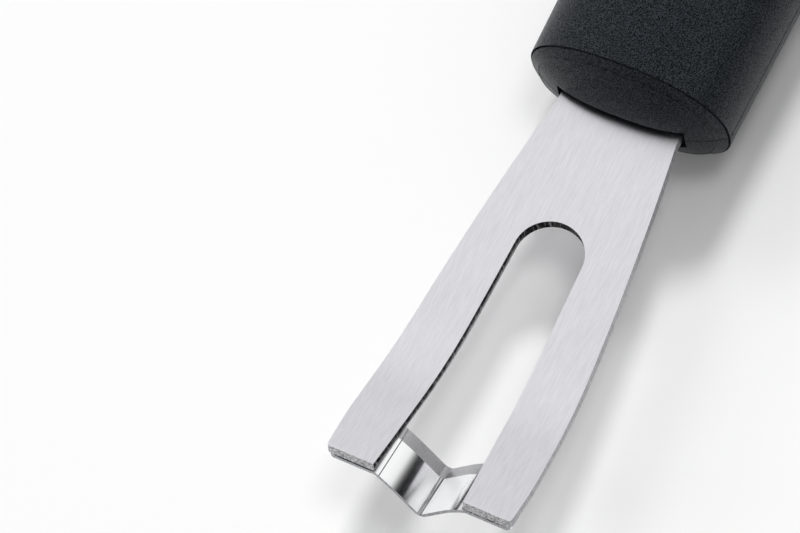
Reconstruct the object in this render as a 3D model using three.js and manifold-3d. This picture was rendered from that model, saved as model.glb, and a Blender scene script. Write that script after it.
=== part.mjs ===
// Channel knife: a stainless fork carries a V-shaped cutter under its cranked tines, in a moulded handle.
// Millimetres, +Z up. +Y runs from the tine ends to the butt of the handle, and X is across the blade.
import * as THREE from 'three';
import { mergeVertices } from 'three/addons/utils/BufferGeometryUtils.js';
import Module from 'manifold-3d';

const wasm = await Module();
wasm.setup();

// Fork blade, stamped from sheet
const PLATE_THICKNESS = 1.5;
const TINE_END_THICKNESS = 1.2;
const BLADE_LENGTH = 45.85; // tine ends to the nose of the handle
const NECK_WIDTH = 14; // where the blade enters the handle
const BLADE_WIDTH = 21.4; // at its widest
const WIDEST_FROM_END = 5;
const END_TAPER = 0.15; // each side, from the widest place to the tine ends
const TINE_WIDTH = 5.41; // at the tine ends
const EDGE_BOW = 0.58; // bulge of each long edge past a straight taper
const TINE_CORNER_RADIUS = 0.7;

// Slot between the tines
const SLOT_RADIUS = 3.9; // round inner end
const SLOT_CENTRE_FROM_END = 29.1;
const SLOT_BOW = 0.14; // how far each side bulges into the slot

// Crank that lifts the tine ends
const CRANK_ANGLE = THREE.MathUtils.degToRad(16);
const CRANK_RADIUS = 35; // on the upper face
const CRANKED_LENGTH = 9.7; // straight stretch past the bend

// Tang, barbed along both sides
const SHOULDER_DEPTH = 7; // neck inside the handle
const TANG_LENGTH = 34; // past the shoulder
const TANG_WIDTH = 9.6;
const TANG_END_CHAMFER = 2;
const BARB_HEIGHT = 0.6;
const BARB_LENGTH = 4;
const BARB_PITCH = 8;
const BARB_COUNT = 3; // on each side
const FIRST_BARB = 6; // from the shoulder

// Cutter, bent from thin strip
const CUTTER_THICKNESS = 0.4;
const FLANGE_INSET = 0.12; // inside the outer edge of each tine
const CUTTER_LENGTH = 6.7; // along the tines
const CHANNEL_DEPTH = 4.05; // under the flanges
const CHANNEL_ANGLE = THREE.MathUtils.degToRad(93);
const CHANNEL_RADIUS = 0.65; // inside the V
const FLANGE_BEND_RADIUS = 0.5; // inside, under each flange
const FLANGE_CORNER_RADIUS = 0.6;
const BEVEL_LENGTH = 1.75; // ground from inside, at the rear edge
const EDGE_LAND = 0.05; // thickness left at the cutting edge

// Weld spots between tine and flange
const WELD_GAP = 0.25;
const WELD_DIAMETER = 2.4;
const WELD_FROM_ENDS = 1.6; // from the front and rear edges of the cutter
const WELD_SEAT = 0.02; // clearance over and under each spot

// Handle, oval with a domed nose
const HANDLE_LENGTH = 112;
const NOSE_DEPTH = 3.1; // nose to the sharp edge round it
const NOSE_POWER = 2.75; // higher is flatter in the middle
const NOSE_WIDTH = 23.4; // at the sharp edge
const NOSE_HEIGHT = 17.5;
const GRIP_WIDTH = 24.6; // at the belly
const GRIP_HEIGHT = 18.4;
const GRIP_FROM_NOSE = 42;
const BUTT_WIDTH = 22.6;
const BUTT_HEIGHT = 17;
const BUTT_DEPTH = 9; // rounded end
const OVAL_POWER = 2.3; // 2 is an ellipse, higher is squarer

// Pocket for the tang
const MOUTH_SIDE_GAP = 0.7;
const MOUTH_TOP_GAP = 1;
const POCKET_SIDE_GAP = 0.3;
const POCKET_END_GAP = 0.5;

// Facets
const CURVE_STEPS = 12;
const CRANK_STEPS = 10;
const BEND_STEPS = 6;
const OVAL_STEPS = 48;
const NOSE_STEPS = 8;
const GRIP_STEPS = 18;
const BUTT_STEPS = 7;
const SPOT_STEPS = 16;

// Widths, heights and places that several pieces share, with the middle of the plate at z = 0
const endWidth = BLADE_WIDTH - 2 * END_TAPER;
const slotMouthWidth = endWidth - 2 * TINE_WIDTH;
const cutterWidth = endWidth - 2 * FLANGE_INSET;
const plateTop = PLATE_THICKNESS / 2;
const crankStart = CRANK_RADIUS * Math.sin(CRANK_ANGLE) + CRANKED_LENGTH * Math.cos(CRANK_ANGLE);
const crankRise = CRANK_RADIUS * (1 - Math.cos(CRANK_ANGLE)) + CRANKED_LENGTH * Math.sin(CRANK_ANGLE);
const shoulder = BLADE_LENGTH + SHOULDER_DEPTH;
const tangEnd = shoulder + TANG_LENGTH;

const steel = new THREE.MeshStandardMaterial({ color: 0xd3d3d8, roughness: 0.38, metalness: 1 });
const polishedSteel = new THREE.MeshStandardMaterial({ color: 0xe4e6e6, roughness: 0.1, metalness: 1 });
const weldMetal = new THREE.MeshStandardMaterial({ color: 0x8e8f91, roughness: 0.6, metalness: 1 });
const blackPlastic = new THREE.MeshStandardMaterial({ color: 0x2d2d30, roughness: 0.72, metalness: 0 });

function solidOf(geometry) {
  const bare = geometry.clone();
  bare.deleteAttribute('normal');
  bare.deleteAttribute('uv');
  const merged = mergeVertices(bare);
  return new wasm.Manifold(new wasm.Mesh({
    numProp: 3,
    vertProperties: new Float32Array(merged.attributes.position.array),
    triVerts: new Uint32Array(merged.index.array),
  }));
}

function geometryOf(solid) {
  const { vertProperties, triVerts } = solid.getMesh();
  const geometry = new THREE.BufferGeometry();
  geometry.setAttribute('position', new THREE.BufferAttribute(vertProperties, 3));
  geometry.setIndex(new THREE.BufferAttribute(triVerts, 1));
  geometry.computeVertexNormals();
  return geometry;
}

function named(name, geometry, material) {
  const mesh = new THREE.Mesh(geometry, material);
  mesh.name = name;
  return mesh;
}

function mirrored(points) {
  return points.map((p) => new THREE.Vector2(-p.x, p.y)).reverse();
}

// A prism on a plan outline, centred on a height
function planPrism(shape, height, middle = 0) {
  const prism = new THREE.ExtrudeGeometry(shape, { depth: height, bevelEnabled: false });
  return prism.translate(0, 0, middle - height / 2);
}

function roundedRectangle(halfWidth, front, rear, radius) {
  const shape = new THREE.Shape();
  shape.absarc(halfWidth - radius, front + radius, radius, -Math.PI / 2, 0);
  shape.absarc(halfWidth - radius, rear - radius, radius, 0, Math.PI / 2);
  shape.absarc(radius - halfWidth, rear - radius, radius, Math.PI / 2, Math.PI);
  shape.absarc(radius - halfWidth, front + radius, radius, Math.PI, 1.5 * Math.PI);
  return shape;
}

// Skins rings of equal count that follow each other along +Y, each turning from +X to +Z, and closes both ends
function loft(rings) {
  const count = rings[0].length;
  const index = [];
  for (let start = 0; start < (rings.length - 1) * count; start += count) {
    for (let i = 0; i < count; i++) {
      const near = start + i;
      const next = start + ((i + 1) % count);
      index.push(near, next + count, next, near, near + count, next + count);
    }
  }
  const lastStart = (rings.length - 1) * count;
  const outline = (ring) => ring.map((p) => new THREE.Vector2(p.x, p.z));
  for (const [a, b, c] of THREE.ShapeUtils.triangulateShape(outline(rings[0]), [])) {
    index.push(a, b, c);
  }
  for (const [a, b, c] of THREE.ShapeUtils.triangulateShape(outline(rings.at(-1)), [])) {
    index.push(lastStart + a, lastStart + c, lastStart + b);
  }
  const geometry = new THREE.BufferGeometry().setFromPoints(rings.flat());
  geometry.setIndex(index);
  return geometry;
}

// Side view of the plate: flat, bent up round the crank, then straight to the tine ends
function bladeProfile() {
  const face = (thicknessAt) => {
    const points = [];
    for (let i = 0; i <= CRANK_STEPS; i++) {
      const angle = (CRANK_ANGLE * i) / CRANK_STEPS;
      const radius = CRANK_RADIUS + thicknessAt(i / CRANK_STEPS);
      const y = crankStart - radius * Math.sin(angle);
      points.push(new THREE.Vector2(y, plateTop + CRANK_RADIUS - radius * Math.cos(angle)));
    }
    const run = new THREE.Vector2(-Math.cos(CRANK_ANGLE), Math.sin(CRANK_ANGLE)).multiplyScalar(CRANKED_LENGTH);
    points.push(points.at(-1).clone().add(run));
    points.unshift(new THREE.Vector2(tangEnd, points[0].y));
    return points;
  };
  const upper = face(() => 0);
  const lower = face((part) => THREE.MathUtils.lerp(PLATE_THICKNESS, TINE_END_THICKNESS, part));
  return new THREE.Shape([...upper, ...lower.reverse()]);
}

// Plan of the plate: slot, tines, neck and barbed tang
function bladePlan() {
  const runout = PLATE_THICKNESS; // past the slanted tine ends
  const slotMiddle = (SLOT_RADIUS + slotMouthWidth / 2) / 2 - 2 * SLOT_BOW;
  const edgeMiddle = (BLADE_WIDTH + NECK_WIDTH) / 4 + 2 * EDGE_BOW;
  const half = new THREE.Path();
  half.moveTo(0, SLOT_CENTRE_FROM_END + SLOT_RADIUS);
  half.absarc(0, SLOT_CENTRE_FROM_END, SLOT_RADIUS, Math.PI / 2, 0, true);
  half.quadraticCurveTo(slotMiddle, SLOT_CENTRE_FROM_END / 2, slotMouthWidth / 2, 0);
  half.lineTo(slotMouthWidth / 2, -runout);
  half.lineTo(endWidth / 2, -runout);
  half.lineTo(endWidth / 2, 0);
  half.quadraticCurveTo(BLADE_WIDTH / 2, WIDEST_FROM_END / 2, BLADE_WIDTH / 2, WIDEST_FROM_END);
  half.quadraticCurveTo(edgeMiddle, (WIDEST_FROM_END + BLADE_LENGTH) / 2, NECK_WIDTH / 2, BLADE_LENGTH);
  half.lineTo(NECK_WIDTH / 2, shoulder);
  half.lineTo(TANG_WIDTH / 2, shoulder);
  for (let i = 0; i < BARB_COUNT; i++) {
    const barb = shoulder + FIRST_BARB + i * BARB_PITCH;
    half.lineTo(TANG_WIDTH / 2, barb);
    half.lineTo(TANG_WIDTH / 2 + BARB_HEIGHT, barb);
    half.lineTo(TANG_WIDTH / 2, barb + BARB_LENGTH);
  }
  half.lineTo(TANG_WIDTH / 2, tangEnd - TANG_END_CHAMFER);
  half.lineTo(TANG_WIDTH / 2 - TANG_END_CHAMFER, tangEnd);
  const right = half.getPoints(CURVE_STEPS);
  return new THREE.Shape([...right, ...mirrored(right.slice(1))]);
}

// The frame of the cranked tine ends: origin on the upper edge, y back along the tines
function onTines(object) {
  object.position.set(0, 0, plateTop + crankRise);
  object.rotation.x = -CRANK_ANGLE;
  object.updateMatrix();
  return object;
}

function forkBlade() {
  const across = new THREE.Matrix4().makeBasis(
    new THREE.Vector3(0, 1, 0),
    new THREE.Vector3(0, 0, 1),
    new THREE.Vector3(1, 0, 0),
  );
  const bentSheet = planPrism(bladeProfile(), 2 * BLADE_WIDTH).applyMatrix4(across);
  const outline = planPrism(bladePlan(), 2 * (crankRise + PLATE_THICKNESS), crankRise / 2);
  const tineEnds = planPrism(
    roundedRectangle(BLADE_WIDTH / 2, 0, 2 * tangEnd, TINE_CORNER_RADIUS),
    2 * tangEnd,
  ).applyMatrix4(onTines(new THREE.Object3D()).matrix);
  const blade = solidOf(bentSheet).intersect(solidOf(outline)).intersect(solidOf(tineEnds));
  return named('fork_blade', geometryOf(blade), steel);
}

// The bent strip: its lower face is at offset 0 and its upper face one thickness above
const legSlope = Math.PI / 2 - CHANNEL_ANGLE / 2;
const channelOuterRadius = CHANNEL_RADIUS + CUTTER_THICKNESS;
const channelCentre = channelOuterRadius - CHANNEL_DEPTH;
const legFoot = new THREE.Vector2(Math.sin(legSlope), -Math.cos(legSlope)).multiplyScalar(channelOuterRadius);
const legRise = FLANGE_BEND_RADIUS * (Math.cos(legSlope) - 1) - channelCentre - legFoot.y;
const flangeStart = legFoot.x + legRise / Math.tan(legSlope) + FLANGE_BEND_RADIUS * Math.sin(legSlope);
const flangeUnderside = -(TINE_END_THICKNESS + WELD_GAP + CUTTER_THICKNESS);

function stripFace(offset) {
  const arc = (x, z, radius, from, to, clockwise) => new THREE.EllipseCurve(
    x, z, radius, radius, from - Math.PI / 2, to - Math.PI / 2, clockwise,
  ).getPoints(BEND_STEPS);
  const bottom = arc(0, channelCentre, channelOuterRadius - offset, -legSlope, legSlope, false);
  const bendRadius = FLANGE_BEND_RADIUS + offset;
  const bend = arc(flangeStart, -FLANGE_BEND_RADIUS, bendRadius, Math.PI + legSlope, Math.PI, true);
  const right = [...bend, new THREE.Vector2(cutterWidth / 2, offset)];
  return [...mirrored(right), ...bottom, ...right];
}

// The strip keeps its lower face along its length, and the bevel thins it from above to the rear edge
function cutter() {
  const section = (y, thickness) => [...stripFace(0), ...stripFace(thickness).reverse()]
    .map((p) => new THREE.Vector3(p.x, y, flangeUnderside + p.y));
  const strip = loft([
    section(0, CUTTER_THICKNESS),
    section(CUTTER_LENGTH - BEVEL_LENGTH, CUTTER_THICKNESS),
    section(CUTTER_LENGTH, EDGE_LAND),
  ]);
  const corners = planPrism(
    roundedRectangle(cutterWidth / 2, 0, CUTTER_LENGTH, FLANGE_CORNER_RADIUS),
    4 * (CHANNEL_DEPTH - flangeUnderside),
  );
  return named('v_cutter', geometryOf(solidOf(strip).intersect(solidOf(corners))), polishedSteel);
}

function weldSpot(name, x, y) {
  const radius = WELD_DIAMETER / 2;
  const spot = new THREE.CylinderGeometry(radius, radius, WELD_GAP - 2 * WELD_SEAT, SPOT_STEPS);
  const mesh = named(name, spot.rotateX(Math.PI / 2), weldMetal);
  mesh.position.set(x, y, -TINE_END_THICKNESS - WELD_GAP / 2);
  return mesh;
}

function cutterAndWelds() {
  const group = onTines(new THREE.Group());
  group.add(cutter());
  const tineMiddle = (endWidth - TINE_WIDTH) / 2;
  for (const [side, x] of [['left', -tineMiddle], ['right', tineMiddle]]) {
    group.add(weldSpot(`weld_${side}_front`, x, WELD_FROM_ENDS));
    group.add(weldSpot(`weld_${side}_rear`, x, CUTTER_LENGTH - WELD_FROM_ENDS));
  }
  return group;
}

// A squared oval whose facets at the top, the bottom and the sides lie at its full height and width
function ovalRing(y, halfWidth, halfHeight) {
  const squared = (value) => Math.sign(value) * Math.abs(value) ** (2 / OVAL_POWER);
  const halfStep = Math.PI / OVAL_STEPS;
  const flat = squared(Math.cos(halfStep));
  return Array.from({ length: OVAL_STEPS }, (_, i) => {
    const angle = (2 * i + 1) * halfStep;
    const x = (halfWidth / flat) * squared(Math.cos(angle));
    const z = (halfHeight / flat) * squared(Math.sin(angle));
    return new THREE.Vector3(x, y, z);
  });
}

// Domed nose, sharp edge, swelling grip and rounded butt
function handleBody() {
  const edge = BLADE_LENGTH + NOSE_DEPTH;
  const buttStart = BLADE_LENGTH + HANDLE_LENGTH - BUTT_DEPTH;
  const swell = new THREE.CatmullRomCurve3([
    new THREE.Vector3(NOSE_WIDTH / 2, edge, NOSE_HEIGHT / 2),
    new THREE.Vector3(GRIP_WIDTH / 2, BLADE_LENGTH + GRIP_FROM_NOSE, GRIP_HEIGHT / 2),
    new THREE.Vector3(BUTT_WIDTH / 2, buttStart, BUTT_HEIGHT / 2),
  ]);
  const rings = [];
  for (let i = 1; i < NOSE_STEPS; i++) {
    const size = Math.sin((i / NOSE_STEPS) * (Math.PI / 2));
    const y = BLADE_LENGTH + NOSE_DEPTH * size ** NOSE_POWER;
    rings.push(ovalRing(y, (size * NOSE_WIDTH) / 2, (size * NOSE_HEIGHT) / 2));
  }
  for (const p of swell.getPoints(GRIP_STEPS)) {
    rings.push(ovalRing(p.y, p.x, p.z));
  }
  for (let i = 1; i < BUTT_STEPS; i++) {
    const angle = (i / BUTT_STEPS) * (Math.PI / 2);
    const size = Math.cos(angle);
    const y = buttStart + BUTT_DEPTH * Math.sin(angle);
    rings.push(ovalRing(y, (size * BUTT_WIDTH) / 2, (size * BUTT_HEIGHT) / 2));
  }
  return loft(rings);
}

function handle() {
  const block = (width, front, rear, height) => solidOf(
    new THREE.BoxGeometry(width, rear - front, height).translate(0, (front + rear) / 2, 0),
  );
  const mouth = block(
    NECK_WIDTH + 2 * MOUTH_SIDE_GAP,
    BLADE_LENGTH - NOSE_DEPTH,
    shoulder + POCKET_SIDE_GAP,
    PLATE_THICKNESS + 2 * MOUTH_TOP_GAP,
  );
  const pocket = block(
    TANG_WIDTH + 2 * (BARB_HEIGHT + POCKET_SIDE_GAP),
    BLADE_LENGTH,
    tangEnd + POCKET_END_GAP,
    PLATE_THICKNESS,
  );
  const body = solidOf(handleBody()).subtract(mouth.add(pocket));
  return named('handle', geometryOf(body), blackPlastic);
}

// The knife lies on the belly of its handle, with the origin under the middle of its length
const channelKnife = new THREE.Group();
channelKnife.add(forkBlade(), cutterAndWelds(), handle());
const extent = new THREE.Box3().setFromObject(channelKnife, true);
const middle = extent.getCenter(new THREE.Vector3());
channelKnife.position.set(-middle.x, -middle.y, -extent.min.z);

export default channelKnife;
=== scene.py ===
"""Looks of the channel knife: brushed fork, polished V strip, weld metal and black handle."""
import math

import bmesh
import bpy
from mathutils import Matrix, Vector


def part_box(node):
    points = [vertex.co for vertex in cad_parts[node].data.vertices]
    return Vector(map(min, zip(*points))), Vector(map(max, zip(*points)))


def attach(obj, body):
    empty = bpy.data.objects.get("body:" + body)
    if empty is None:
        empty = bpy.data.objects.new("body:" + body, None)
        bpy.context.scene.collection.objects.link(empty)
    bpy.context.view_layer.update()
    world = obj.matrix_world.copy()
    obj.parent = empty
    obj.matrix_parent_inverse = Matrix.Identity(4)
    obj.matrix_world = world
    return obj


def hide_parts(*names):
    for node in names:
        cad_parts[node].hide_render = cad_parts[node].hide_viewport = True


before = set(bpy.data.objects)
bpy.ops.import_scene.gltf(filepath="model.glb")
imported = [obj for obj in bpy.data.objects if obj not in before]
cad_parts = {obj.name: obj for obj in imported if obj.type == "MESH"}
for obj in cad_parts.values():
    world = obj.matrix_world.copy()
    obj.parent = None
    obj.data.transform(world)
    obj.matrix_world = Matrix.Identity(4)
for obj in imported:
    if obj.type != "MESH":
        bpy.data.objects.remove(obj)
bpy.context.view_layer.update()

MM = 0.001
QUARTER_TURN = math.radians(90)

# Modelling: how near counts as one place, in millimetres, how far a wall's normal may rise, and shading
MERGE_WITHIN = 0.002
AT_PLACE = 0.01
WALL_RISE = 0.5
FLAT_WEIGHT = 80

# Fork, in millimetres, y from the tine ends towards the handle
PLATE_THICKNESS = 1.5
TINE_END_THICKNESS = 1.2
BLADE_LENGTH = 45.85
BLADE_HALF_WIDTH = 10.7
WIDEST_FROM_END = 5.0
END_HALF_WIDTH = 10.55
NECK_HALF_WIDTH = 7.0
EDGE_BOW = 0.58
TINE_CORNER_RADIUS = 0.32
TINE_WIDTH = 5.41
SLOT_RADIUS = 3.9
SLOT_CENTRE = 29.1
SLOT_BOW = 0.14
CRANK_ANGLE = math.radians(16)
CRANK_RADIUS = 35.0
CRANKED_LENGTH = 9.7
SHOULDER_END = 52.85
SHOULDER_SLANT = 0.15
TANG_HALF_WIDTH = 4.8
TANG_END = 86.85
TANG_CHAMFER = 2.0
BARB_HEIGHT = 0.6
BARB_CATCH = 0.3
BARB_LENGTH = 4.0
BARBS = (58.85, 66.85, 74.85)

# Steps along the fork's outline
TINE_CORNER_STEPS = 6
TINE_STEPS = 9
CRANK_STEPS = 14
SLOT_SIDE_STEPS = 10
SLOT_ROUND_STEPS = 14
NECK_STEPS = 12

# Rounds of the fork's punched edges, and where its finishes change
SHARP_CORNER = math.radians(60)
CORNER_ROUND = 0.22
CORNER_ROUND_STEPS = 3
PUNCHED_ROUND = 0.16
PUNCHED_ROUND_STEPS = 4
UNDER_ROUND = 0.06
UNDER_ROUND_STEPS = 2
PLATE_CREASE = math.radians(40)
SLOT_SIDE_MARGIN = 0.3
SLOT_END_MARGIN = 0.5
# Share of the torn zone on the right slot wall, where the dark band of painted shade reaches lower
TORN_ON_SHADED_RIGHT = 0.35
# Up to this rise the outer rounds take the darker wall finish, as painted shade along the outline
OUTER_SHADED_RISE = 0.9
SLOT_SHEAR_RISE = 0.35
END_FACING = 0.9
END_DEPTH = 0.5

# Bent strip, in the frame of the cranked tine ends
STRIP_THICKNESS = 0.4
STRIP_LENGTH = 6.7
STRIP_HALF_WIDTH = 10.43
CHANNEL_DEPTH = 4.05
CHANNEL_HALF_ANGLE = math.radians(46.5)
CHANNEL_RADIUS = 0.65
FLANGE_BEND_RADIUS = 0.5
FLANGE_CORNER = 0.6
EDGE_CORNER = 0.14
FLANGE_CORNER_STEPS = 6
BEVEL_LENGTH = 1.75
EDGE_LAND = 0.05
HONED_LENGTH = 0.16
HONED_THICKNESS = 0.26
WELD_GAP = 0.25
BEND_STEPS = 9
BEND_COIN = math.radians(16)
LEG_STEPS = 16
STRIP_CREASE = math.radians(9)

# Each leg: the share of it that is flat, and the angle by which the rest eases
LEFT_LEG = (0.43, math.radians(8.2))
RIGHT_LEG = (0.52, math.radians(17))

# Each leg's dulling: how far it is full, where it has gone, both from the fold, and its strength
DRAWN_LEFT = (1.2, 1.8, 0.75)
DRAWN_RIGHT = (3.4, 4.0, 1.0)

# Where the strip's finishes change: faces that look up, faces at its ends, and the fold's marked share
LOOKS_UP = 0.1
LOOKS_ALONG = 0.5
FOLD_MARK = 0.6

# Weld bead under the right tine
BEAD_FROM = 5.0
BEAD_TO = 10.3
BEAD_LENGTH = 0.5
BEAD_SET_BACK = 0.03
BEAD_BITE = 0.01
BEAD_ROUGHNESS = 0.05
BEAD_CUTS = 15
BEAD_FRONT = 0.5
BEAD_SEED = 3
BEAD_CREASE = math.radians(40)

# Handle: half widths, half heights and places from its nose
NOSE_DEPTH = 3.1
NOSE_POWER = 2.75
NOSE_CROWN = 1.4
NOSE_SIZES = (0.06, 0.16, 0.27, 0.38, 0.49, 0.59, 0.68, 0.76, 0.83, 0.88, 0.892, 0.904, 0.94, 0.97)
RIDGE_SIZE = 0.892
RIDGE_HEIGHT = 0.09
RIM = (11.7, 8.75)
BELLY = (12.3, 9.2)
BUTT = (11.3, 8.5)
BELLY_FROM_NOSE = 42.0
HANDLE_LENGTH = 112.0
BUTT_DEPTH = 9.0
OVAL_POWER = 2.3
OVAL_QUARTER_STEPS = 20
GRIP_STEPS = 14
BUTT_STEPS = 10
RIM_GAP = 0.2
RIM_GAP_DEPTH = 0.5
RIM_LIP = 0.03
SEAM_HALF_WIDTH = 0.09
SEAM_DEPTH = 0.16
MOUTH_HALF_WIDTH = 7.45
MOUTH_HALF_HEIGHT = 1.75
MOUTH_END_GAP = 0.3
POCKET_HALF_WIDTH = 5.7
POCKET_HALF_HEIGHT = 0.78
POCKET_END_GAP = 0.5
ON_RING = 0.0005
ON_SEAM = 0.001
SHORTEST_EDGE = 0.0001
HANDLE_CREASE = math.radians(30)

# Where the pieces sit, from the solids' own places
blade_low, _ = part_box("fork_blade")
_, handle_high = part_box("handle")
tip_y = blade_low.y / MM + TINE_END_THICKNESS * math.sin(CRANK_ANGLE)
plate_top = blade_low.z / MM + PLATE_THICKNESS
plate_middle = plate_top - PLATE_THICKNESS / 2
crank_end = CRANKED_LENGTH * math.cos(CRANK_ANGLE)
crank_start = CRANK_RADIUS * math.sin(CRANK_ANGLE) + crank_end
tine_rise = CRANK_RADIUS * (1 - math.cos(CRANK_ANGLE)) + CRANKED_LENGTH * math.sin(CRANK_ANGLE)


# Steps of modelling that the pieces share

def open_primitive(name):
    """Names the primitive just added, puts its place in its mesh and opens it with all of it selected."""
    piece = bpy.context.object
    piece.name = piece.data.name = name
    bpy.ops.object.transform_apply(location=True, rotation=True, scale=True)
    bpy.ops.object.mode_set(mode="EDIT")
    bpy.ops.mesh.select_mode(type="VERT")
    bpy.ops.mesh.select_all(action="SELECT")
    return piece


def start_piece(name, first):
    """Starts a piece in edit mode as one vertex at a place in millimetres."""
    bpy.ops.object.select_all(action="DESELECT")
    bpy.ops.mesh.primitive_plane_add(size=MM, location=first * MM)
    piece = open_primitive(name)
    bpy.ops.mesh.merge(type="CENTER")
    return piece


def draw_on(points):
    """Extrudes the selected vertex along a line of points in millimetres."""
    for here, there in zip(points, points[1:]):
        bpy.ops.mesh.extrude_vertices_move(TRANSFORM_OT_translate={"value": (there - here) * MM})


def draw_second(points):
    """Draws another line of edges in the mesh that is open."""
    bpy.ops.mesh.select_all(action="DESELECT")
    bpy.ops.mesh.primitive_plane_add(size=MM, location=points[0] * MM)
    bpy.ops.mesh.merge(type="CENTER")
    draw_on(points)


def select_parts(piece, kind, wanted):
    """Selects the vertices or the edges of the open mesh for which wanted(part) is true."""
    bpy.ops.mesh.select_mode(type=kind)
    bpy.ops.mesh.select_all(action="DESELECT")
    mesh = bmesh.from_edit_mesh(piece.data)
    mesh.normal_update()
    for part in mesh.edges if kind == "EDGE" else mesh.verts:
        part.select_set(wanted(part))
    mesh.select_flush_mode()
    bmesh.update_edit_mesh(piece.data)


def merge_doubles():
    """Merges the open mesh's vertices that lie in one place and removes faces without area."""
    bpy.ops.mesh.select_mode(type="VERT")
    bpy.ops.mesh.select_all(action="SELECT")
    bpy.ops.mesh.remove_doubles(threshold=MERGE_WITHIN * MM)
    bpy.ops.mesh.dissolve_degenerate(threshold=MERGE_WITHIN * MM)


def face_up(piece):
    """Turns an open sheet so that its faces look up."""
    bpy.ops.mesh.select_all(action="SELECT")
    bpy.ops.mesh.normals_make_consistent(inside=False)
    mesh = bmesh.from_edit_mesh(piece.data)
    if sum(face.normal.z * face.calc_area() for face in mesh.faces) < 0:
        bpy.ops.mesh.flip_normals()


def finish_with(piece, kind, **values):
    """Adds a modifier of that kind and applies it."""
    modifier = piece.modifiers.new(kind.title(), kind)
    for key, value in values.items():
        setattr(modifier, key, value)
    bpy.context.view_layer.objects.active = piece
    bpy.ops.object.modifier_apply(modifier=modifier.name)


def thicken(piece, thickness, side, share_at):
    """Gives a sheet its thickness, with share_at(place in millimetres) of it at each vertex."""
    group = piece.vertex_groups.new(name="thickness")
    for vertex in piece.data.vertices:
        group.add([vertex.index], share_at(vertex.co / MM), "REPLACE")
    finish_with(piece, "SOLIDIFY", thickness=thickness * MM, offset=side, use_even_offset=True,
                vertex_group="thickness")
    piece.vertex_groups.clear()


def smooth(piece, crease):
    """Shades a piece smooth, apart from edges sharper than the crease, with its flats kept flat."""
    bpy.ops.object.select_all(action="DESELECT")
    piece.select_set(True)
    bpy.context.view_layer.objects.active = piece
    bpy.ops.object.shade_smooth_by_angle(angle=crease)
    finish_with(piece, "WEIGHTED_NORMAL", keep_sharp=True, weight=FLAT_WEIGHT)


def held(part):
    """Holds a share between 0 and 1."""
    return max(0, min(1, part))


# Fork plate

def curved(y, start, end, x_start, x_end, bow):
    """Half width at y on an edge that bows out between two places."""
    part = (y - start) / (end - start)
    return x_start + (x_end - x_start) * part + 4 * bow * part * (1 - part)


def inner_half_width(y):
    """Half width of the slot at y."""
    if y <= SLOT_CENTRE:
        return curved(y, 0, SLOT_CENTRE, END_HALF_WIDTH - TINE_WIDTH, SLOT_RADIUS, -SLOT_BOW)
    if y < SLOT_CENTRE + SLOT_RADIUS:
        return math.sqrt(SLOT_RADIUS ** 2 - (y - SLOT_CENTRE) ** 2)
    return 0


def outer_half_width(y):
    """Half width of the blade at y."""
    if y <= WIDEST_FROM_END:
        return curved(y, 0, WIDEST_FROM_END, END_HALF_WIDTH, BLADE_HALF_WIDTH,
                      (BLADE_HALF_WIDTH - END_HALF_WIDTH) / 4)
    if y <= BLADE_LENGTH:
        return curved(y, WIDEST_FROM_END, BLADE_LENGTH, BLADE_HALF_WIDTH, NECK_HALF_WIDTH, EDGE_BOW)
    return NECK_HALF_WIDTH


def top_height(y):
    """Height of the plate's upper face over its flat part."""
    if y >= crank_start:
        return 0
    if y >= crank_end:
        return CRANK_RADIUS - math.sqrt(CRANK_RADIUS ** 2 - (crank_start - y) ** 2)
    return tine_rise - y * math.tan(CRANK_ANGLE)


def plate_stations():
    """Places along half the plate: distance from the tine ends, inner and outer half width."""
    stations = []
    for i in range(TINE_CORNER_STEPS):
        angle = QUARTER_TURN * i / TINE_CORNER_STEPS
        y = TINE_CORNER_RADIUS * (1 - math.cos(angle)) * math.cos(CRANK_ANGLE)
        outer = END_HALF_WIDTH - TINE_CORNER_RADIUS * (1 - math.sin(angle))
        stations.append((y, inner_half_width(y), outer))
    corner_end = TINE_CORNER_RADIUS * math.cos(CRANK_ANGLE)
    places = []
    for start, end, steps in (
        (corner_end, crank_end, TINE_STEPS),
        (crank_end, crank_start, CRANK_STEPS),
        (crank_start, SLOT_CENTRE, SLOT_SIDE_STEPS),
    ):
        places += [start + (end - start) * i / steps for i in range(steps)]
    places += [SLOT_CENTRE + SLOT_RADIUS * math.sin(QUARTER_TURN * i / SLOT_ROUND_STEPS)
               for i in range(SLOT_ROUND_STEPS + 1)]
    slot_end = SLOT_CENTRE + SLOT_RADIUS
    places += [slot_end + (BLADE_LENGTH - slot_end) * i / NECK_STEPS for i in range(1, NECK_STEPS + 1)]
    stations += [(y, inner_half_width(y), outer_half_width(y)) for y in places]
    stations.append((SHOULDER_END - SHOULDER_SLANT, 0, NECK_HALF_WIDTH))
    stations.append((SHOULDER_END, 0, TANG_HALF_WIDTH))
    for barb in BARBS:
        stations.append((barb - BARB_CATCH, 0, TANG_HALF_WIDTH))
        stations.append((barb, 0, TANG_HALF_WIDTH + BARB_HEIGHT))
        stations.append((barb + BARB_LENGTH, 0, TANG_HALF_WIDTH))
    stations.append((TANG_END - TANG_CHAMFER, 0, TANG_HALF_WIDTH))
    stations.append((TANG_END, 0, TANG_HALF_WIDTH - TANG_CHAMFER))
    return stations


def plate_share(place):
    """Share of the plate's thickness at a place: whole, then thinned over the crank to the tine ends."""
    cranked = held((crank_start - (place.y - tip_y)) / (crank_start - crank_end))
    return 1 - (1 - TINE_END_THICKNESS / PLATE_THICKNESS) * cranked


def is_wall(face):
    """Whether a face stands upright."""
    return abs(face.normal.z) < WALL_RISE


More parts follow.
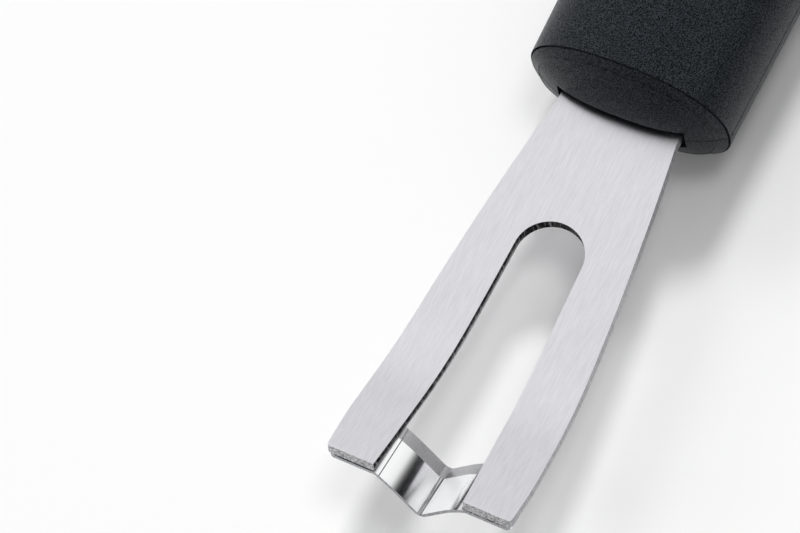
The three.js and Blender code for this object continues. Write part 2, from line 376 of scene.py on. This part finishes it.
def round_plate_edges(piece):
    """Rounds the plate's sharp corners, then its punched edges on top and its edges underneath."""
    bpy.ops.object.mode_set(mode="EDIT")
    select_parts(piece, "EDGE", lambda edge: all(map(is_wall, edge.link_faces))
                 and edge.calc_face_angle(0) > SHARP_CORNER)
    bpy.ops.mesh.bevel(offset=CORNER_ROUND * MM, segments=CORNER_ROUND_STEPS)
    for size, steps, side in ((PUNCHED_ROUND, PUNCHED_ROUND_STEPS, 1), (UNDER_ROUND, UNDER_ROUND_STEPS, -1)):
        select_parts(piece, "EDGE", lambda edge: sum(map(is_wall, edge.link_faces)) == 1
                     and any(face.normal.z * side > WALL_RISE for face in edge.link_faces))
        bpy.ops.mesh.bevel(offset=size * MM, segments=steps, loop_slide=False, clamp_overlap=True)
    merge_doubles()
    bpy.ops.object.mode_set(mode="OBJECT")


def mark_slot_wall(piece):
    """Marks the slot's wall for its dark band, part burnished zone and part painted shade: fully at its top
    and round end, less below, least on the left.
    """
    burnish_and_shade = piece.data.attributes.new("burnish_and_shade", "FLOAT", "POINT")
    for vertex, mark in zip(piece.data.vertices, burnish_and_shade.data):
        x, y = abs(vertex.co.x) / MM, vertex.co.y / MM - tip_y
        in_slot = (y < SLOT_CENTRE + SLOT_RADIUS + SLOT_END_MARGIN
                   and x < inner_half_width(min(y, SLOT_CENTRE)) + SLOT_SIDE_MARGIN)
        depth = (plate_top + top_height(y) - vertex.co.z / MM) / PLATE_THICKNESS
        # Painted shade: the slot's round end is dark all down its depth
        round_end = held((y - SLOT_CENTRE) / SLOT_RADIUS)
        torn = depth * (1 - round_end) * (TORN_ON_SHADED_RIGHT if vertex.co.x > 0 else 1)
        mark.value = 1 - torn if in_slot else 0


def fork_plate():
    """The fork: half of its upper face, mirrored, thickened downwards and rounded at its edges."""
    inner_edge, outer_edge = [], []
    for y, inner, outer in plate_stations():
        z = plate_top + top_height(y)
        inner_edge.append(Vector((inner, tip_y + y, z)))
        outer_edge.append(Vector((outer, tip_y + y, z)))
    piece = start_piece("fork_plate", inner_edge[0])
    draw_on(inner_edge)
    draw_second(outer_edge)
    bpy.ops.mesh.select_all(action="SELECT")
    bpy.ops.mesh.bridge_edge_loops()
    face_up(piece)
    bpy.ops.object.mode_set(mode="OBJECT")
    finish_with(piece, "MIRROR", use_axis=(True, False, False), use_mirror_merge=True,
                merge_threshold=MERGE_WITHIN * MM)
    thicken(piece, PLATE_THICKNESS, -1, plate_share)
    round_plate_edges(piece)
    smooth(piece, PLATE_CREASE)
    mark_slot_wall(piece)
    return piece


def finish_plate(piece, face_finish, wall_finish, end_finish):
    """Gives the plate's faces, its walls with the outer rounds, and the tines' cut ends their finishes; the
    outer rounds take the darker wall finish as painted shade.
    """
    for finish in (face_finish, wall_finish, end_finish):
        piece.data.materials.append(finish)
    wall, end = 1, 2
    for face in piece.data.polygons:
        y = face.center.y / MM - tip_y
        # Painted shade: the outer edges' rounds take the darker wall finish, as a dark outline
        at_outer_edge = abs(face.center.x) / MM > outer_half_width(y) - 2 * PUNCHED_ROUND
        if abs(face.normal.z) < (OUTER_SHADED_RISE if at_outer_edge else SLOT_SHEAR_RISE):
            at_end = face.normal.y < -END_FACING and face.center.y < (tip_y + END_DEPTH) * MM
            face.material_index = end if at_end else wall


# Bent strip with its ground edge

def on_tines(x, along, height):
    """A place in the frame of the tine ends: along them from the front, and over their upper face."""
    cos, sin = math.cos(CRANK_ANGLE), math.sin(CRANK_ANGLE)
    return Vector((x, tip_y + along * cos + height * sin,
                   plate_top + tine_rise - along * sin + height * cos))


tines_front = on_tines(0, 0, 0)
along_tines = on_tines(0, 1, 0) - tines_front


def half_section(straight, ease):
    """Half of the strip's lower face from the fold out: a leg, partly flat and then eased, and a flange."""
    slope = QUARTER_TURN - CHANNEL_HALF_ANGLE
    outer = CHANNEL_RADIUS + STRIP_THICKNESS
    half = []
    for i in range(BEND_STEPS + 1):
        angle = slope * i / BEND_STEPS
        half.append((outer * math.sin(angle), outer * (1 - math.cos(angle)) - CHANNEL_DEPTH))
    leg = []
    for i in range(LEG_STEPS):
        part = (i + 0.5) / LEG_STEPS
        leg.append(slope - ease * max(0, part - straight) / (1 - straight))
    coined = slope - ease + BEND_COIN
    bend_rise = FLANGE_BEND_RADIUS * (1 - math.cos(coined))
    step = (-half[-1][1] - bend_rise) / sum(map(math.sin, leg))
    for angle in leg:
        x, z = half[-1]
        half.append((x + step * math.cos(angle), z + step * math.sin(angle)))
    x, z = half[-1]
    for i in range(1, BEND_STEPS + 1):
        angle = coined * (1 - i / BEND_STEPS)
        half.append((x + FLANGE_BEND_RADIUS * (math.sin(coined) - math.sin(angle)),
                     z + FLANGE_BEND_RADIUS * (math.cos(angle) - math.cos(coined))))
    return half + [(STRIP_HALF_WIDTH, 0.0)]


def strip_section():
    """The strip's lower face from one side to the other, as x and height over the tines' upper face."""
    left = [(-x, z) for x, z in reversed(half_section(*LEFT_LEG)[1:])]
    base = -(TINE_END_THICKNESS + WELD_GAP + STRIP_THICKNESS)
    return [(x, base + z) for x, z in left + half_section(*RIGHT_LEG)]


def from_front(place):
    """Distance of a place in millimetres from the strip's front edge."""
    return (place - tines_front).dot(along_tines)


def strip_share(place):
    """Share of the strip's thickness at a place: whole, then ground down to the honed edge."""
    to_edge = STRIP_LENGTH - from_front(place)
    if to_edge > BEVEL_LENGTH / 2:
        return 1.0
    left = HONED_THICKNESS if to_edge > HONED_LENGTH / 2 else EDGE_LAND
    return left / STRIP_THICKNESS


def flange_corner_at(distance):
    """A test for the upright edges of the flanges' corners at a distance from the front."""
    def wanted(edge):
        ends = [vertex.co / MM for vertex in edge.verts]
        return all(abs(end.x) > STRIP_HALF_WIDTH - AT_PLACE
                   and abs(from_front(end) - distance) < AT_PLACE for end in ends)
    return wanted


def mark_strip_finishes(piece):
    """Numbers the strip's faces by finish: polished all over, but for the bevel, the ends and the fold."""
    ground_bevel, sheared_end, shaded_fold_line = 1, 2, 3
    fold = FOLD_MARK * CHANNEL_RADIUS * math.cos(CHANNEL_HALF_ANGLE)
    for face in piece.data.polygons:
        to_side = abs(face.center.x / MM)
        to_edge = STRIP_LENGTH - from_front(face.center / MM)
        upper = face.normal.z > LOOKS_UP
        if upper and HONED_LENGTH < to_edge < BEVEL_LENGTH - AT_PLACE:
            face.material_index = ground_bevel
        elif abs(face.normal.dot(along_tines)) > LOOKS_ALONG or to_side > STRIP_HALF_WIDTH - AT_PLACE:
            face.material_index = sheared_end
        # The fold takes dark streaks, partly marks of the bend and partly painted shade in the crease
        elif upper and to_side < fold and to_edge > BEVEL_LENGTH:
            face.material_index = shaded_fold_line


def v_strip():
    """The strip: its section drawn at the front, pulled along the tines, thickened and ground."""
    line = [on_tines(x, 0, height) for x, height in strip_section()]
    piece = start_piece("v_strip", line[0])
    draw_on(line)
    bpy.ops.mesh.select_mode(type="EDGE")
    bpy.ops.mesh.select_all(action="SELECT")
    for step in (STRIP_LENGTH - BEVEL_LENGTH, BEVEL_LENGTH - HONED_LENGTH, HONED_LENGTH):
        bpy.ops.mesh.extrude_edges_move(TRANSFORM_OT_translate={"value": along_tines * step * MM})
    face_up(piece)
    bpy.ops.object.mode_set(mode="OBJECT")
    thicken(piece, STRIP_THICKNESS, 1, strip_share)
    bpy.ops.object.mode_set(mode="EDIT")
    for distance, size in ((0, FLANGE_CORNER), (STRIP_LENGTH, EDGE_CORNER)):
        select_parts(piece, "EDGE", flange_corner_at(distance))
        bpy.ops.mesh.bevel(offset=size * MM, segments=FLANGE_CORNER_STEPS, clamp_overlap=True)
    merge_doubles()
    bpy.ops.object.mode_set(mode="OBJECT")
    mark_strip_finishes(piece)
    drawn = piece.data.attributes.new("drawn", "FLOAT", "POINT")
    for vertex, mark in zip(piece.data.vertices, drawn.data):
        full, gone, strength = DRAWN_LEFT if vertex.co.x < 0 else DRAWN_RIGHT
        mark.value = strength * held((gone - abs(vertex.co.x) / MM) / (gone - full))
    smooth(piece, STRIP_CREASE)
    return piece


def weld_bead():
    """Rough weld metal that closes the front of the gap between the right tine and its flange."""
    bpy.ops.object.select_all(action="DESELECT")
    middle = on_tines((BEAD_FROM + BEAD_TO) / 2, BEAD_SET_BACK + BEAD_LENGTH / 2,
                      -TINE_END_THICKNESS - WELD_GAP / 2)
    size = Vector((BEAD_TO - BEAD_FROM, BEAD_LENGTH, WELD_GAP + 2 * BEAD_BITE))
    bpy.ops.mesh.primitive_cube_add(size=1, location=middle * MM, rotation=(-CRANK_ANGLE, 0, 0),
                                    scale=size * MM)
    piece = open_primitive("weld_bead")
    bpy.ops.mesh.subdivide(number_cuts=BEAD_CUTS)
    select_parts(piece, "VERT", lambda vertex: all(
        face.normal.y < -BEAD_FRONT for face in vertex.link_faces))
    bpy.ops.transform.vertex_random(offset=BEAD_ROUGHNESS * MM, normal=1.0, seed=BEAD_SEED)
    bpy.ops.object.mode_set(mode="OBJECT")
    smooth(piece, BEAD_CREASE)
    return piece


# Handle

def grip_sizes(y):
    """Half width and half height of the grip, y from the nose, between the rim and the butt."""
    rim, belly, butt = NOSE_DEPTH, BELLY_FROM_NOSE, HANDLE_LENGTH - BUTT_DEPTH
    if y < belly:
        part = (belly - y) / (belly - rim)
        ends = zip(BELLY, RIM)
    else:
        part = (y - belly) / (butt - belly)
        ends = zip(BELLY, BUTT)
    swell = part * part * (2.0 - part)
    return [middle + (end - middle) * swell for middle, end in ends]


def handle_stations():
    """Rings along the handle: distance from the tine ends, half width and half height."""
    stations = []
    for size in NOSE_SIZES:
        proud = RIDGE_HEIGHT if size == RIDGE_SIZE else 0
        y = BLADE_LENGTH + NOSE_DEPTH * size ** NOSE_POWER - proud
        stations.append((y, RIM[0] * size, RIM[1] * size ** NOSE_CROWN))
    rim = BLADE_LENGTH + NOSE_DEPTH
    inner = [side - RIM_GAP for side in RIM]
    dome_edge = BLADE_LENGTH + NOSE_DEPTH * (inner[0] / RIM[0]) ** NOSE_POWER
    lip = [side - RIM_LIP for side in RIM]
    stations.append((dome_edge, *inner))
    stations.append((rim + RIM_GAP_DEPTH, *inner))
    stations.append((rim + RIM_GAP_DEPTH, *lip))
    stations.append((rim, *lip))
    stations.append((rim + RIM_LIP, *RIM))
    butt = HANDLE_LENGTH - BUTT_DEPTH
    for i in range(1, GRIP_STEPS + 1):
        y = NOSE_DEPTH + (butt - NOSE_DEPTH) * i / GRIP_STEPS
        stations.append((BLADE_LENGTH + y, *grip_sizes(y)))
    butt_end = handle_high.y / MM - tip_y
    for i in range(1, BUTT_STEPS):
        angle = QUARTER_TURN * i / BUTT_STEPS
        part = math.sin(angle) / math.cos(QUARTER_TURN / BUTT_STEPS)
        stations.append((BLADE_LENGTH + butt + (butt_end - BLADE_LENGTH - butt) * part,
                         BUTT[0] * math.cos(angle), BUTT[1] * math.cos(angle)))
    return stations


def on_axis(y):
    """The point of the handle's middle line at a distance in millimetres from the tine ends."""
    return Vector((0, tip_y + y, plate_middle)) * MM


def cut_box(piece, half_width, front, rear, half_height):
    """Cuts a box, given in millimetres from the tine ends, out of a piece."""
    bpy.ops.object.select_all(action="DESELECT")
    bpy.ops.mesh.primitive_cube_add(size=2, location=on_axis((front + rear) / 2),
                                    scale=(half_width * MM, (rear - front) / 2 * MM, half_height * MM))
    cutter = bpy.context.object
    finish_with(piece, "BOOLEAN", operation="DIFFERENCE", object=cutter, solver="EXACT")
    bpy.data.objects.remove(cutter)


def draw_oval(name, y):
    """Starts a piece as an oval line round the handle's middle line, with half axes of 1 mm."""
    bpy.ops.object.select_all(action="DESELECT")
    bpy.ops.mesh.primitive_plane_add(size=2 * MM, rotation=(QUARTER_TURN, 0, 0), location=on_axis(y))
    piece = open_primitive(name)
    oval_profile = 0.5 ** (2 / OVAL_POWER)
    bpy.ops.mesh.bevel(offset_type="PERCENT", offset_pct=50, segments=OVAL_QUARTER_STEPS,
                       profile=oval_profile, affect="VERTICES")
    bpy.ops.mesh.select_all(action="SELECT")
    bpy.ops.mesh.remove_doubles(threshold=ON_RING * MM)
    bpy.ops.mesh.delete(type="ONLY_FACE")
    return piece


def pull_through(piece, stations):
    """Pulls the oval through the rings and closes it at both ends."""
    bpy.ops.mesh.select_mode(type="EDGE")
    bpy.ops.mesh.select_all(action="SELECT")
    first_y = stations[0][0]
    width, height, y = 1.0, 1.0, first_y
    for i, (next_y, next_width, next_height) in enumerate(stations):
        if i > 0:
            bpy.ops.mesh.extrude_edges_move(TRANSFORM_OT_translate={"value": (0, (next_y - y) * MM, 0)})
        bpy.ops.transform.resize(value=(next_width / width, 1, next_height / height),
                                 center_override=on_axis(next_y))
        width, height, y = next_width, next_height, next_y
    bpy.ops.mesh.edge_face_add()
    select_parts(piece, "VERT", lambda vertex: abs(vertex.co.y / MM - tip_y - first_y) < ON_RING)
    bpy.ops.mesh.edge_face_add()
    bpy.ops.mesh.select_all(action="SELECT")
    bpy.ops.mesh.normals_make_consistent(inside=False)


def press_seam(piece):
    """Presses the mould's seam into both sides."""
    def on_seam(vertex):
        return abs(vertex.co.z / MM - plate_middle) < ON_SEAM

    select_parts(piece, "EDGE", lambda edge: all(map(on_seam, edge.verts))
                 and abs(edge.verts[0].co.y - edge.verts[1].co.y) > SHORTEST_EDGE * MM)
    bpy.ops.mesh.bevel(offset=SEAM_HALF_WIDTH * MM, segments=2, profile=0.5)
    select_parts(piece, "VERT", on_seam)
    bpy.ops.transform.shrink_fatten(value=-SEAM_DEPTH * MM)


def handle_shell():
    """The handle: an oval pulled through its rings, with a seam on both sides, a mouth and a pocket."""
    stations = handle_stations()
    piece = draw_oval("handle_shell", stations[0][0])
    pull_through(piece, stations)
    press_seam(piece)
    bpy.ops.object.mode_set(mode="OBJECT")
    cut_box(piece, MOUTH_HALF_WIDTH, BLADE_LENGTH - NOSE_DEPTH, SHOULDER_END + MOUTH_END_GAP,
            MOUTH_HALF_HEIGHT)
    cut_box(piece, POCKET_HALF_WIDTH, BLADE_LENGTH, TANG_END + POCKET_END_GAP, POCKET_HALF_HEIGHT)
    smooth(piece, HANDLE_CREASE)
    return piece


# Nodes that the finishes share

# A mix node's first and second input and its output, by the kind of its data
MIX_SOCKETS = {"FLOAT": (2, 3, 0), "RGBA": (6, 7, 2)}

# What the fine pattern's inputs set on its noise
PATTERN_INPUTS = (("Fineness", "Scale"), ("Detail", "Detail"), ("Harshness", "Roughness"))


def set_up(made, **values):
    """Gives a node its settings and its sockets' values by name, with _ for a space."""
    for key, value in values.items():
        socket = key.replace("_", " ")
        if socket in made.inputs:
            made.inputs[socket].default_value = value
        else:
            setattr(made, key, value)
    return made


def node(tree, kind, **values):
    """A new node, set up by name."""
    return set_up(tree.nodes.new(kind), **values)


def new_material(name, **values):
    """A material, its node tree and its shader, set up by name."""
    material = bpy.data.materials.new(name)
    material.use_nodes = True
    tree = material.node_tree
    return material, tree, set_up(tree.nodes["Principled BSDF"], **values)


def pattern_group():
    """Fine noise about a middle value: lines where it is stretched, or else pits and grain."""
    group = bpy.data.node_groups.new("fine_pattern", "ShaderNodeTree")
    add_socket = group.interface.new_socket
    add_socket(name="Vector", in_out="INPUT", socket_type="NodeSocketVector")
    for name, _ in PATTERN_INPUTS:
        add_socket(name=name, in_out="INPUT", socket_type="NodeSocketFloat")
    add_socket(name="Contrast", in_out="INPUT", socket_type="NodeSocketFloat")
    add_socket(name="Pattern", in_out="OUTPUT", socket_type="NodeSocketFloat")
    link = group.links.new
    inside = group.nodes.new("NodeGroupInput")
    outside = group.nodes.new("NodeGroupOutput")
    noise = group.nodes.new("ShaderNodeTexNoise")
    link(inside.outputs["Vector"], noise.inputs["Vector"])
    for name, socket in PATTERN_INPUTS:
        link(inside.outputs[name], noise.inputs[socket])
    middle = 0.5
    centred = node(group, "ShaderNodeMath", operation="SUBTRACT")
    centred.inputs[1].default_value = middle
    link(noise.outputs["Fac"], centred.inputs[0])
    spread = node(group, "ShaderNodeMath", operation="MULTIPLY_ADD")
    spread.inputs[2].default_value = middle
    link(centred.outputs[0], spread.inputs[0])
    link(inside.outputs["Contrast"], spread.inputs[1])
    link(spread.outputs[0], outside.inputs["Pattern"])
    return group


fine_pattern = pattern_group()


def pattern_on(tree, fineness, stretch=(1, 1, 1), detail=3.0, harshness=0.65, contrast=1.0):
    """Places the fine pattern in a material, on the piece's own coordinates, stretched."""
    place = tree.nodes.new("ShaderNodeTexCoord")
    mapping = node(tree, "ShaderNodeMapping", Scale=stretch)
    tree.links.new(place.outputs["Object"], mapping.inputs["Vector"])
    made = node(tree, "ShaderNodeGroup", node_tree=fine_pattern, Fineness=fineness, Detail=detail,
                Harshness=harshness, Contrast=contrast)
    tree.links.new(mapping.outputs["Vector"], made.inputs["Vector"])
    return made.outputs["Pattern"]


def ramp(tree, source, stops):
    """A colour ramp through stops, each a place of the value and a colour."""
    made = tree.nodes.new("ShaderNodeValToRGB")
    elements = made.color_ramp.elements
    while len(elements) < len(stops):
        elements.new(0.5)
    for element, (place, colour) in zip(elements, stops):
        element.position = place
        element.color = (*colour, 1)
    tree.links.new(source, made.inputs["Fac"])
    return made.outputs["Color"]


def grey_ramp(tree, source, stops):
    """A ramp through stops, each a place of the value and a level of grey."""
    return ramp(tree, source, [(place, (level,) * 3) for place, level in stops])


def spread_to(tree, source, low, high):
    """Takes a value from 0 to 1 to another range."""
    made = node(tree, "ShaderNodeMapRange", To_Min=low, To_Max=high)
    tree.links.new(source, made.inputs["Value"])
    return made.outputs["Result"]


def mix(tree, kind, share, first, second):
    """Mixes two values or two colours by a share; the second may be a plain number."""
    made = node(tree, "ShaderNodeMix", data_type=kind)
    first_in, second_in, out = MIX_SOCKETS[kind]
    tree.links.new(share, made.inputs[0])
    tree.links.new(first, made.inputs[first_in])
    if isinstance(second, float):
        made.inputs[second_in].default_value = second
    else:
        tree.links.new(second, made.inputs[second_in])
    return made.outputs[out]


def bump(tree, shader, source, strength, distance):
    """Raises the surface by a value, the distance in millimetres."""
    made = node(tree, "ShaderNodeBump", Strength=strength, Distance=distance * MM)
    tree.links.new(source, made.inputs["Height"])
    tree.links.new(made.outputs["Normal"], shader.inputs["Normal"])


# Finishes: a stretch is the scale of a pattern in x, y and z; a stop is a place of a value and a colour

ALONG = (1.0, 0.03, 1.0)
SHORT = (1.0, 0.06, 0.06)
ACROSS = (0.04, 1.0, 0.04)
FOLD = (1.0, 0.03, 0.03)
DOWN = (1.0, 1.0, 0.08)
DARK_LINE = 0.2
LIGHT_LINE = 0.8
LINE_HEIGHT = 0.004
FROSTED_METAL = 0.4
SHEARED_ROUGHNESS = (0.3, 0.5)
TORN = ((DARK_LINE, (0.22, 0.22, 0.23)), (LIGHT_LINE, (0.5, 0.5, 0.52)))
# Near-black band at the top of the slot's walls: part burnished zone, part painted shade
BURNISHED_AND_SHADED = ((0.5, (0.006, 0.006, 0.007)), (0.82, (0.36, 0.36, 0.37)))
BURNISHED_ROUGHNESS = 0.8
BURNISH_AND_SHADE_BAND = ((0.2, 0.0), (0.55, 1.0))
DARK_PIT = 0.36
LIGHT_RISE = 0.6
PIT_HEIGHT = 0.03
GRAIN_COLOURS = ((0.42, (0.0, 0.0005, 0.001)), (0.6, (0.0225, 0.0275, 0.034)))
GRAIN_GLOSS = ((0.41, 0.0), (0.61, 0.46))
GRAIN_ROUGHNESS = (0.26, 0.44)
GRAIN_HEIGHT = 0.08


def lined_steel(name, dark, light, roughness, stretch, fineness, contrast, depth,
                spread=None, share=0.8, dulled=None):
    """Steel with lines drawn one way, which spread its highlights the other way; a mark can dull it."""
    material, tree, shader = new_material(name, Metallic=1.0)
    if spread:
        sideways = node(tree, "ShaderNodeCombineXYZ", X=spread[0], Y=spread[1], Z=spread[2])
        tree.links.new(sideways.outputs["Vector"], shader.inputs["Tangent"])
        shader.inputs["Anisotropic"].default_value = share
    lines = pattern_on(tree, fineness, stretch, contrast=contrast)
    colour = ramp(tree, lines, ((DARK_LINE, dark), (LIGHT_LINE, light)))
    tree.links.new(colour, shader.inputs["Base Color"])
    source = lines
    if dulled:
        source = node(tree, "ShaderNodeAttribute", attribute_name=dulled).outputs["Fac"]
        tree.links.new(spread_to(tree, source, 1.0, FROSTED_METAL), shader.inputs["Metallic"])
    tree.links.new(spread_to(tree, source, *roughness), shader.inputs["Roughness"])
    bump(tree, shader, lines, strength=depth, distance=LINE_HEIGHT)
    return material


def sheared_steel(name):
    """Walls of the blanked plate: drawn downwards, with a dark band where the slot is marked, part burnish
    and part painted shade.
    """
    material, tree, shader = new_material(name, Metallic=1.0)
    lines = pattern_on(tree, fineness=5000.0, stretch=DOWN, contrast=1.6)
    mark = node(tree, "ShaderNodeAttribute", attribute_name="burnish_and_shade")
    band = grey_ramp(tree, mark.outputs["Fac"], BURNISH_AND_SHADE_BAND)
    colour = mix(tree, "RGBA", band, ramp(tree, lines, TORN), ramp(tree, lines, BURNISHED_AND_SHADED))
    tree.links.new(colour, shader.inputs["Base Color"])
    roughness = mix(tree, "FLOAT", band, spread_to(tree, lines, *SHEARED_ROUGHNESS), BURNISHED_ROUGHNESS)
    tree.links.new(roughness, shader.inputs["Roughness"])
    bump(tree, shader, lines, strength=0.3, distance=LINE_HEIGHT)
    return material


def mottled_metal(name, dark, light, roughness, fineness):
    """Rough metal with dark pits."""
    material, tree, shader = new_material(name, Metallic=1.0)
    pits = pattern_on(tree, fineness, detail=4.0, harshness=0.7)
    colour = ramp(tree, pits, ((DARK_PIT, dark), (LIGHT_RISE, light)))
    tree.links.new(colour, shader.inputs["Base Color"])
    tree.links.new(spread_to(tree, pits, *roughness), shader.inputs["Roughness"])
    bump(tree, shader, pits, strength=0.5, distance=PIT_HEIGHT)
    return material


def eroded_plastic(name):
    """Black plastic from a spark-eroded mould: fine grain in colour, gloss and bump."""
    material, tree, shader = new_material(name, Specular_IOR_Level=0.09, Specular_Tint=(0.72, 0.94, 1.0, 1),
                                          Coat_Roughness=0.38)
    grain = pattern_on(tree, fineness=6800.0, detail=2.0, harshness=0.7)
    tree.links.new(ramp(tree, grain, GRAIN_COLOURS), shader.inputs["Base Color"])
    tree.links.new(grey_ramp(tree, grain, GRAIN_GLOSS), shader.inputs["Coat Weight"])
    tree.links.new(spread_to(tree, grain, *GRAIN_ROUGHNESS), shader.inputs["Roughness"])
    bump(tree, shader, grain, strength=1.0, distance=GRAIN_HEIGHT)
    return material


brushed = lined_steel(
    "brushed_steel", dark=(0.755, 0.75, 0.785), light=(0.925, 0.92, 0.96), roughness=(0.3, 0.38),
    stretch=SHORT, fineness=7500.0, contrast=1.2, depth=0.06, spread=(1, 0, 0))
sheared = sheared_steel("sheared_edge")
polished = lined_steel(
    "polished_strip", dark=(0.89, 0.9, 0.91), light=(0.97, 0.97, 0.97), roughness=(0.1, 0.33),
    stretch=ACROSS, fineness=7000.0, contrast=0.7, depth=0.01, spread=along_tines, share=1.0, dulled="drawn")
ground = lined_steel(
    "ground_bevel", dark=(0.4, 0.4, 0.41), light=(0.56, 0.56, 0.57), roughness=(0.3, 0.4),
    stretch=ALONG, fineness=9000.0, contrast=1.6, depth=0.2)
# Dark streaks along the fold: partly marks of the bend, partly painted shade in the crease
fold_streaks_and_shade = lined_steel(
    "fold_streaks_and_painted_shade", dark=(0.14, 0.14, 0.15), light=(0.82, 0.82, 0.83), roughness=(0.22, 0.34),
    stretch=FOLD, fineness=6500.0, contrast=2.4, depth=0.1)
cut_end = mottled_metal("cut_end", dark=(0.12, 0.12, 0.13), light=(0.62, 0.62, 0.63),
                        roughness=(0.35, 0.55), fineness=4200.0)
weld_metal = mottled_metal("weld_metal", dark=(0.06, 0.06, 0.07), light=(0.62, 0.62, 0.63),
                           roughness=(0.4, 0.6), fineness=4600.0)
black_plastic = eroded_plastic("black_plastic")

# The pieces, what they stand for and what they ride on

plate = fork_plate()
finish_plate(plate, brushed, sheared, cut_end)
strip = v_strip()
for finish in (polished, ground, sheared, fold_streaks_and_shade):
    strip.data.materials.append(finish)
bead = weld_bead()
bead.data.materials.append(weld_metal)
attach(bead, "root")
shell = handle_shell()
shell.data.materials.append(black_plastic)

for piece, solid, slot in (
    (plate, "fork_blade", "brushed_plate"),
    (strip, "v_cutter", "polished_strip"),
    (shell, "handle", "black_plastic"),
):
    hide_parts(solid)
    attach(piece, "root")
for side in ("left", "right"):
    for end in ("front", "rear"):
        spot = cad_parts[f"weld_{side}_{end}"]
        spot.data.materials.clear()
        spot.data.materials.append(weld_metal)

# Floor, room, lights and camera, in metres

FLOOR_SIZE = 6.0
FLOOR_COLOUR = (0.9, 0.9, 0.9, 1)

# The room: its light on dull surfaces away from and towards the bright side, and its level in mirrors
AMBIENT = (0.02, 0.53)
BRIGHT_SIDE = (-0.509, 0.4, 0.763)
MIRRORED_ROOM = (
    (0.48, 0.008), (0.5, 0.045), (0.507, 0.08), (0.519, 0.26), (0.54, 0.81), (0.55, 0.92),
    (0.58, 1.0), (0.82, 0.95), (0.87, 0.6), (0.9, 0.55), (0.95, 0.76), (0.985, 1.0),
)

# Soft lights: name, direction from the object, size and power
LIGHT_DISTANCE = 4.8
LIGHTS = (
    ("key", (-0.14, 0.64, 0.755), 1.08, 115.0),
    ("side", (-0.644, 0.372, 0.669), 1.5, 34.0),
    ("top", (0.224, 0.129, 0.966), 1.5, 38.0),
    ("fill", (-0.765, -0.441, 0.469), 1.8, 29.0),
)

CAMERA_PLACE = Vector((0.11415, -0.17364, 0.37655))
CAMERA_TURN = (23.646, 9.468, 26.855)
CAMERA_LENS = 173.96
CAMERA_NEAREST = 0.01


def pale_floor():
    """A dull pale floor that is clear from below."""
    bpy.ops.object.select_all(action="DESELECT")
    bpy.ops.mesh.primitive_plane_add(size=FLOOR_SIZE)
    floor = bpy.context.object
    floor.name = "floor"
    material, tree, shader = new_material("pale_floor", Base_Color=FLOOR_COLOUR, Roughness=1.0,
                                          Specular_IOR_Level=0.0)
    side = tree.nodes.new("ShaderNodeNewGeometry")
    clear = tree.nodes.new("ShaderNodeBsdfTransparent")
    either = tree.nodes.new("ShaderNodeMixShader")
    tree.links.new(side.outputs["Backfacing"], either.inputs[0])
    tree.links.new(shader.outputs[0], either.inputs[1])
    tree.links.new(clear.outputs[0], either.inputs[2])
    tree.links.new(either.outputs[0], tree.nodes["Material Output"].inputs["Surface"])
    floor.data.materials.append(material)


def white_room():
    """A white room, brighter on one side, with its own levels in mirrors and pure white behind the floor."""
    world = bpy.data.worlds.new("white_room")
    bpy.context.scene.world = world
    world.use_nodes = True
    tree = world.node_tree
    background = tree.nodes["Background"]
    background.inputs["Color"].default_value = (1, 1, 1, 1)
    path = tree.nodes.new("ShaderNodeLightPath")
    direction = tree.nodes.new("ShaderNodeTexCoord")
    side = node(tree, "ShaderNodeVectorMath", operation="DOT_PRODUCT")
    side.inputs[1].default_value = BRIGHT_SIDE
    tree.links.new(direction.outputs["Generated"], side.inputs[0])
    share = node(tree, "ShaderNodeMapRange", From_Min=-1)
    tree.links.new(side.outputs["Value"], share.inputs["Value"])
    dull = spread_to(tree, share.outputs["Result"], *AMBIENT)
    mirrored = grey_ramp(tree, share.outputs["Result"], MIRRORED_ROOM)
    level = mix(tree, "FLOAT", path.outputs["Is Glossy Ray"], dull, mirrored)
    seen = node(tree, "ShaderNodeMath", operation="MAXIMUM")
    tree.links.new(path.outputs["Is Camera Ray"], seen.inputs[0])
    tree.links.new(level, seen.inputs[1])
    tree.links.new(seen.outputs[0], background.inputs["Strength"])


def soft_light(name, direction, size, power):
    """A round soft light, kept out of the mirrored room."""
    lamp = bpy.data.lights.new(name, "AREA")
    lamp.shape = "DISK"
    lamp.size = size
    lamp.energy = power
    light = bpy.data.objects.new(name, lamp)
    bpy.context.scene.collection.objects.link(light)
    light.visible_glossy = False
    light.location = Vector(direction) * LIGHT_DISTANCE
    light.rotation_euler = Vector(direction).to_track_quat("Z", "Y").to_euler()


def photo_camera():
    """The camera of the photograph."""
    lens = bpy.data.cameras.new("camera")
    lens.lens = CAMERA_LENS
    lens.clip_start = CAMERA_NEAREST
    camera = bpy.data.objects.new("camera", lens)
    bpy.context.scene.collection.objects.link(camera)
    camera.location = CAMERA_PLACE
    camera.rotation_euler = [math.radians(turn) for turn in CAMERA_TURN]
    bpy.context.scene.camera = camera


pale_floor()
white_room()
for light in LIGHTS:
    soft_light(*light)
photo_camera()
bpy.context.scene.view_settings.view_transform = "Standard"
